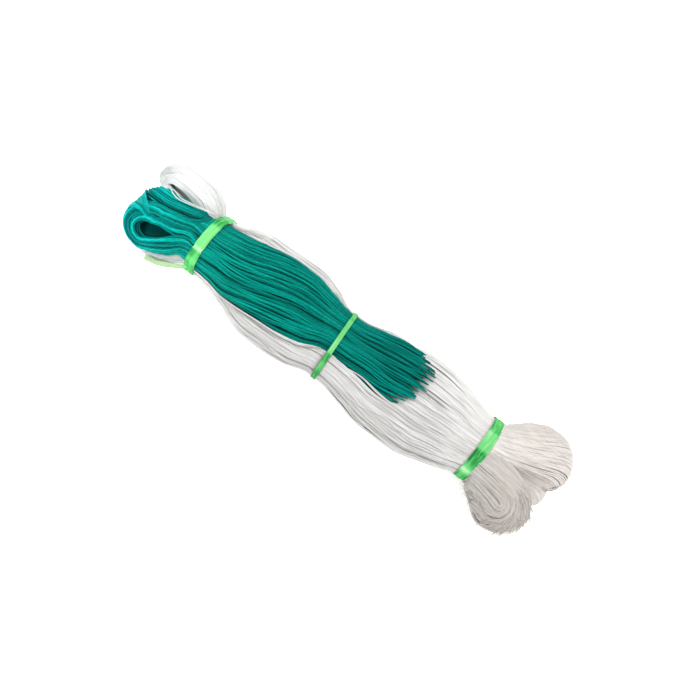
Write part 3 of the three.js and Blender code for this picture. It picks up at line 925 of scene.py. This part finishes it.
def green_trunk_cords():
    rng = np.random.default_rng(51)
    share = np.linspace(0, 1, 62)
    start = UPPER_TIE.x - 1
    tip = smooth(0.9, 1, share)
    girth = Girth(31, 17)
    layers = []
    tones = []
    # The lower layer of cords is painted darker, as painted shade where it shows between the upper cords.
    for count, depth, tone, short in ((104, 0.0, 0.92, 0.0), (86, 1.5, 0.5, 7.0)):
        run = share * GREEN_RUN
        slack = slack_between_ties(start + run)
        place, sink = lay_in_locks(rng, girth.spaced(count), run, (1, 5), 1.0, 0.7, 1.0, 0.5, slack)
        end = cut_end(girth.turn_at(place[:, -1] + crossing(GREEN_END)))
        lock = gather(rng, girth.spaced(count), 3, 8)[0]
        uneven = rng.uniform(0, 7, lock[-1] + 1)[lock] + rng.exponential(0.8, count)
        snipped = rng.choice([0, 1], count) * rng.uniform(3.5, 8.5, count)
        end = end - short - np.minimum(uneven + snipped, 15)
        x = start + (end - start)[:, None] * share
        place = place + crossing(x) + rng.normal(0, 0.7, (count, 1)) * tip
        sink = sink + depth - rng.uniform(-0.8, 0.7, (count, 1)) * tip
        layers.append(GREEN.at(x, girth.turn_at(place), sink + CORD_RADIUS))
        tones.append(tone_shaded_by_depth(rng, tone, 0.17, sink - depth, 0.3))
    lay_cords("green_trunk_cords", np.concatenate(layers), np.concatenate(tones))


def near_fold_pole(x):
    return 2.27 - 0.0086 * (np.clip(x, -184, -142) + 172)


def far_fold_pole(x):
    return 0.45 * smooth(-140, -178, x)


FOLD_LAY = Laid((1, 5), 0.5, 0.4, 1.2, 0.7)
# Bed tones: the lower beds are painted darker, and the rings round the near fold's eye darker the further in
# they lie, as painted shade; the far fold's top bed is painted brighter, as painted light.
NEAR_BEDS = [
    Bed(48, 0.92),
    Bed(40, 0.5, below=1.5),
    Bed(8, 0.6, depth=0.9, share=0.09),
    Bed(8, 0.4, depth=0.8, share=0.09),
    Bed(8, 0.25, depth=0.7, share=0.09),
]
FAR_BEDS = [Bed(36, 1.1), Bed(28, 0.6, below=1.5)]
FOLDS = [
    Fold(
        GREEN_NEAR, Girth(20, 14.5), -169, 25, near_fold_pole, -1, NEAR_BEDS,
        Eye(6.8, -151, -169, 17, 1), math.pi - 0.9),
    Fold(GREEN_FAR, Girth(13.5, 12), -178, 18, far_fold_pole, 1, FAR_BEDS, waist=-0.7),
]


def green_fold_cords():
    rng = np.random.default_rng(57)
    laid = [fold_strands(rng, fold, FOLD_LAY, UPPER_TIE.x + 1, 0.8, 0.36, 0.3) for fold in FOLDS]
    paths, tones = (np.concatenate(parts) for parts in zip(*laid))
    lay_cords("green_fold_cords", paths, tones)


def fold_top(x, y):
    """Height of the top of the two folds."""
    tops = []
    for fold in FOLDS:
        mid_y, half_y, mid_z, half_z = fold.hank.oval(x)
        left = 1 - ((y - mid_y) / half_y) ** 2 - (np.minimum(x - fold.turn_x, 0) / fold.reach) ** 2
        tops.append(np.where(left > 0, mid_z + half_z * np.sqrt(np.maximum(left, 0)), 0))
    return np.max(tops, axis=0)


CROSS_CORDS = 18


def green_cross_cords():
    """Cords over the hollow between the two folds, drawn together at the rim of the near fold's eye."""
    rng = np.random.default_rng(59)
    share = np.linspace(0, 1, 34)[:, None]
    paths = []
    for i in range(CROSS_CORDS):
        side = i / (CROSS_CORDS - 1)
        below = np.array([-184, 1 - 22 * side, 15])
        outer = np.array([-205, 2 - 24.5 * side, 21]) + rng.normal(0, 0.5, 3)
        over = np.array([-192, -9 - 15 * side, 35]) + rng.normal(0, 0.5, 3)
        rim = np.array([rng.normal(-175, 2.0), -25 - 2 * side, 37])
        x, y, z = (
            below * (1 - share) ** 3 + 3 * outer * share * (1 - share) ** 2
            + 3 * over * share**2 * (1 - share) + rim * share**3).T
        raised = np.maximum(z, fold_top(x, y) + 0.2 + 0.7 * (i % 3))
        z = np.where(share[:, 0] < 0.42, z, raised) - 2.6 * smooth(0.86, 1, share[:, 0])
        paths.append(np.stack([x, y, z], -1))
    lay_cords("green_cross_cords", np.array(paths), rng.normal(0.95, 0.3, (CROSS_CORDS, 1)))


# Inner strands, a streaked body under the laid ones, painted darker than them as painted shade in the depths
# of the hank
ABOVE_FLOOR = 0.3


def inner_body(hank, head, foot, head_nose, foot_nose, sink, bedded=False, tone=0.35):
    bpy.ops.mesh.primitive_uv_sphere_add(segments=36, ring_count=42, radius=1)
    piece = bpy.context.active_object
    verts = np.array([vert.co for vert in piece.data.vertices])
    x = head + (foot - head) * np.arccos(np.clip(-verts[:, 2], -1, 1)) / math.pi
    turn = np.arctan2(verts[:, 1], verts[:, 0])
    from_head = np.clip(1 - (x - head) / head_nose, 0, 1)
    from_foot = np.clip(1 - (foot - x) / foot_nose, 0, 1)
    scale = np.sqrt(1 - from_head**2) * np.sqrt(1 - from_foot**2)
    places = hank.at(x, turn, sink, scale)
    places[:, 2] = np.maximum(places[:, 2], ABOVE_FLOOR)
    if bedded:
        places = bed_under_green(places[:, None, :].repeat(3, axis=1), 2.4)[:, 1]
    piece.data.vertices.foreach_set("co", (places * MM).ravel())
    mark_points(piece.data, "tone", np.full(len(verts), tone))
    piece.data.shade_smooth()
    return piece


def joined(name, pieces):
    bpy.ops.object.select_all(action="DESELECT")
    for piece in pieces:
        piece.select_set(True)
    bpy.context.view_layer.objects.active = pieces[0]
    bpy.ops.object.join()
    return named(name)


def inner_white():
    bodies = [
        inner_body(WHITE, -142, 146, 6, 10, 2.2, bedded=True, tone=0.85),
        inner_body(LOBE_FAR, 144, 202, 12, 29, 2.2, tone=0.85),
        inner_body(LOBE_NEAR, 132, 186, 6, 28, 2.2, tone=0.5),
        inner_body(LOBE_MIDDLE, 146, 192, 6, 13, 1.8, tone=0.6),
        inner_body(LOOP_FAR, -198, -130, 24, 4, 4.5),
        inner_body(LOOP_UNDER, -182, -130, 16, 4, 1.4),
    ]
    dress(joined("white_inner_threads", bodies), WHITE_FINISH, "white_thread", "white_hank")


def inner_green():
    bodies = [
        inner_body(GREEN, -142, 58, 6, 26, 3.4),
        inner_body(GREEN_FAR, -194, -130, 18, 4, 3.4),
        # The near fold's body is painted at the darkest tone, as painted shade inside its eye.
        inner_body(GREEN_NEAR, -184, -132, 18, 4, 10.5, tone=0.0),
    ]
    dress(joined("green_inner_cords", bodies), GREEN_FINISH, "green_cord", "green_hank")


# Film ties
RING_STEPS = 720
RING_HALF_WIDTH = 30
AROUND = 180
CREASE_LINES = 13
FILM_THICKNESS = 0.22


def ring_round(tie, hanks):
    """Points round the tightest loop over the hanks at a tie, with the way out from each."""
    turn = np.linspace(0, FULL_TURN, RING_STEPS, endpoint=False)
    reach = np.full(turn.shape, -1e9)
    for hank in hanks:
        mid_y, half_y, mid_z, half_z = hank.oval(tie.x + tie.slant * RING_HALF_WIDTH * np.cos(turn))
        out = np.hypot(half_y * np.cos(turn), half_z * np.sin(turn))
        reach = np.maximum(reach, mid_y * np.cos(turn) + mid_z * np.sin(turn) + out)
    after = np.roll(turn, -1)
    reach_after = np.roll(reach, -1)
    cross = math.sin(FULL_TURN / RING_STEPS)
    y = (reach * np.sin(after) - reach_after * np.sin(turn)) / cross
    z = (reach_after * np.cos(turn) - reach * np.cos(after)) / cross
    corners = np.stack([y, z], -1)
    closed = np.concatenate([corners, corners[:1]])
    length = np.concatenate([[0], np.cumsum(np.linalg.norm(np.diff(closed, axis=0), axis=1))])
    place = np.arange(AROUND) / AROUND * length[-1]
    ring = np.stack([np.interp(place, length, closed[:, i]) for i in (0, 1)], -1)
    ahead = np.roll(ring, -1, axis=0) - np.roll(ring, 1, axis=0)
    outward = np.stack([ahead[:, 1], -ahead[:, 0]], -1)
    return ring, outward / np.linalg.norm(outward, axis=1, keepdims=True)


def make_film(piece, band, thin_and_lit, pale_tint_and_highlight):
    """Marks a sheet by its place in the streaks, how thin it is with its painted light and shade, and its
    pale tint with painted highlights, then gives it thickness.
    """
    mark_points(piece.data, "band", band, "FLOAT_VECTOR", "vector")
    mark_points(piece.data, "thin_and_lit", thin_and_lit)
    mark_points(piece.data, "tone", pale_tint_and_highlight)
    thicken = piece.modifiers.new("film", "SOLIDIFY")
    thicken.thickness = FILM_THICKNESS * MM
    thicken.offset = 0
    bpy.ops.object.modifier_apply(modifier=thicken.name)
    piece.data.shade_smooth()


def film_tie(name, tie, hanks, phase, pinch, zones, node_name):
    """A film drawn round the hanks, pinched to a narrow waist at one turn, thin and thick by its zones, which
    also paint its highlights, reflections and shade.
    """
    bpy.ops.mesh.primitive_cylinder_add(
        vertices=AROUND, radius=1, depth=1, end_fill_type="NOTHING", rotation=(0, math.pi / 2, 0))
    bpy.ops.object.transform_apply(location=False, rotation=True, scale=False)
    piece = named(name)
    bpy.ops.object.mode_set(mode="EDIT")
    for i in range(1, CREASE_LINES - 1):
        bpy.ops.mesh.select_all(action="SELECT")
        bpy.ops.mesh.bisect(plane_co=(i / (CREASE_LINES - 1) - 0.5, 0, 0), plane_no=(1, 0, 0))
    bpy.ops.object.mode_set(mode="OBJECT")

    verts = np.array([vert.co for vert in piece.data.vertices])
    angle = np.mod(np.arctan2(verts[:, 2], verts[:, 1]), FULL_TURN)
    step = np.rint(angle / FULL_TURN * AROUND).astype(int) % AROUND
    across = verts[:, 0]
    around = step / AROUND * FULL_TURN
    ring, outward = ring_round(tie, hanks)
    pulled = bell(((around - pinch + math.pi) % FULL_TURN - math.pi) / 0.045)
    folds = np.abs(np.sin(math.pi * (1.4 * across + 0.3 + 0.14 * np.sin(around + phase))))
    edges = 1 - (2 * np.abs(across)) ** 4
    lift = 0.42 + 0.6 * folds * (0.35 + 0.65 * edges) + 0.2 * pulled
    wide = tie.width * (1 + 0.05 * np.sin(2 * around + phase) - 0.15 * pulled)
    skew = 0.5 * np.sin(around + 1.7 * phase)
    flat = ring[step] + outward[step] * lift[:, None]
    y, z = flat.T
    places = np.stack([tie.x + tie.slant * y + skew + across * wide, y, z], -1) * MM
    piece.data.vertices.foreach_set("co", places.ravel())
    band = np.stack([across * 0.55 * tie.width, 1.6 * np.cos(around), 1.6 * np.sin(around) + 7 * phase], -1)
    thin_and_lit = np.interp(step / AROUND, *zip(*zones))
    # The pinch is painted pale, a painted highlight across the band.
    make_film(piece, band, thin_and_lit, 0.3 * pulled)
    dress(piece, FILM_FINISH, "tie_film", node_name)


def tie_tail():
    bpy.ops.mesh.primitive_grid_add(x_subdivisions=48, y_subdivisions=8, size=1)
    piece = named("tie_upper_tail")
    verts = np.array([vert.co for vert in piece.data.vertices])
    along = verts[:, 0] + 0.5
    across = verts[:, 1]
    xs, *columns = np.array(TAIL, float).T
    x = xs[-1] + (xs[0] - xs[-1]) * along
    y, z, lean = (column(xs, values)(x) for values in columns)
    curl = 0.35 * np.cos(math.pi * 2 * across) + 0.25 * np.sin(9 * along + 5 * across)
    y = y + 1.5 * (1 - smooth(0, 0.25, along))
    wide = TAIL_WIDTH * (1 - 0.25 * along) * across
    places = np.stack([
        x,
        y - np.sin(lean) * wide - np.cos(lean) * curl,
        z + np.cos(lean) * wide - np.sin(lean) * curl], -1)
    places[:, 2] = np.maximum(places[:, 2], ABOVE_FLOOR)
    piece.data.vertices.foreach_set("co", (places * MM).ravel())
    band = np.stack([across * 2.5, along * 3, np.zeros_like(along)], -1)
    make_film(piece, band, np.full_like(along, 0.65), 0.4 + 0.5 * smooth(0.02, 0.35, along))
    dress(piece, TAIL_FINISH, "tie_film", "tie_upper")


# Share of the way round each tie, and how thin the film is there: paler values stand for thin film and
# painted highlights and reflections, darker ones for film lying double and painted shade
UPPER_ZONES = [
    (0, 0.5), (0.02, 0.62), (0.14, 0.62), (0.165, 0.3), (0.2, 0.38), (0.22, 0.26), (0.255, 0.3),
    (0.275, 0.66), (0.4, 0.7), (0.425, 0.66), (0.43, 0.3), (0.455, 0.4), (0.47, 0.6), (0.485, 0.62),
    (0.5, 0.46), (0.58, 0.44), (1, 0.45)]
MIDDLE_ZONES = [
    (0, 0.45), (0.15, 0.42), (0.165, 0.72), (0.365, 0.74), (0.377, 0.28), (0.415, 0.28), (0.425, 0.56),
    (0.46, 0.54), (0.475, 0.4), (0.52, 0.38), (1, 0.45)]
LOWER_ZONES = [
    (0, 0.45), (0.175, 0.45), (0.185, 0.76), (0.305, 0.72), (0.33, 0.18), (0.395, 0.2), (0.42, 0.5),
    (0.445, 0.95), (0.46, 0.8), (0.475, 0.38), (0.52, 0.34), (1, 0.45)]

white_trunk_threads()
white_foot_threads()
foot_flank_threads()
foot_brush()
white_head_threads()
loose_threads()
inner_white()
green_trunk_cords()
green_fold_cords()
green_cross_cords()
inner_green()
film_tie("tie_upper_film", UPPER_TIE, (WHITE, GREEN), 0.6, 2.6, UPPER_ZONES, "tie_upper")
film_tie("tie_middle_film", MIDDLE_TIE, (WHITE, GREEN), 2.1, 4.6, MIDDLE_ZONES, "tie_middle")
film_tie("tie_lower_film", LOWER_TIE, (WHITE,), 3.9, 5.2, LOWER_ZONES, "tie_lower")
tie_tail()


# Floor, light and camera
def pale_floor():
    bpy.ops.mesh.primitive_plane_add(size=6)
    floor = named("floor")
    material, tree, shader = new_material(
        "pale_floor", Roughness=0.9, Specular_IOR_Level=0.1,
        Emission_Color=(1, 1, 1, 1), Emission_Strength=0.56)
    grain = noise(tree, object_place(tree), Scale=40.0, Detail=3.0)
    colour = blend(tree, grain, (0.81, 0.81, 0.81, 1), (0.83, 0.83, 0.83, 1))
    feed(shader.inputs["Base Color"], colour)
    floor.data.materials.append(material)


def soft_light(name, place, target, size, power, spread=180):
    lamp = bpy.data.lights.new(name, "AREA")
    lamp.shape = "SQUARE"
    lamp.size = size
    lamp.energy = power
    lamp.spread = math.radians(spread)
    light = bpy.data.objects.new(name, lamp)
    bpy.context.collection.objects.link(light)
    light.location = place
    light.rotation_euler = (Vector(target) - Vector(place)).to_track_quat("-Z", "Y").to_euler()


def studio():
    world = bpy.data.worlds.new("studio")
    world.use_nodes = True
    backdrop = world.node_tree.nodes["Background"]
    feed(backdrop.inputs["Color"], (1, 1, 1, 1))
    feed(backdrop.inputs["Strength"], 1.0)
    bpy.context.scene.world = world
    bpy.context.scene.view_settings.view_transform = "Standard"
    soft_light("key", (-0.5, 0.2, 1.15), (-0.02, 0, 0.02), 0.8, 8.0)
    soft_light("fill", (0.95, 0.0, 0.65), (0.12, 0, 0.02), 0.9, 4.5)
    soft_light("front", (-0.28, -0.42, 0.3), (-0.165, -0.04, 0.005), 0.15, 0.06, 24)


CAMERA_ELEVATION = math.radians(58)
CAMERA_ROLL = math.radians(37.2)
CAMERA_DISTANCE = 0.560
HANK_MIDDLE = Vector((0, -0.0028, 0.018))
SHIFT_RIGHT = 0.00358
SHIFT_DOWN = 0.00101
FRAME_WIDTH = 0.5446
SENSOR = 36.0


def camera():
    level = Vector((1, 0, 0))
    upright = Vector((0, math.sin(CAMERA_ELEVATION), math.cos(CAMERA_ELEVATION)))
    ahead = Vector((0, upright.z, -upright.y))
    right = level * math.cos(CAMERA_ROLL) + upright * math.sin(CAMERA_ROLL)
    up = upright * math.cos(CAMERA_ROLL) - level * math.sin(CAMERA_ROLL)
    aim = HANK_MIDDLE + right * SHIFT_RIGHT - up * SHIFT_DOWN
    lens = bpy.data.cameras.new("camera")
    lens.sensor_width = SENSOR
    lens.lens = SENSOR * CAMERA_DISTANCE / FRAME_WIDTH
    lens.clip_start = 0.01
    eye = bpy.data.objects.new("camera", lens)
    bpy.context.collection.objects.link(eye)
    turned = Matrix((right, up, -ahead)).transposed().to_4x4()
    eye.matrix_world = Matrix.Translation(aim - ahead * CAMERA_DISTANCE) @ turned
    bpy.context.scene.camera = eye


pale_floor()
studio()
camera()
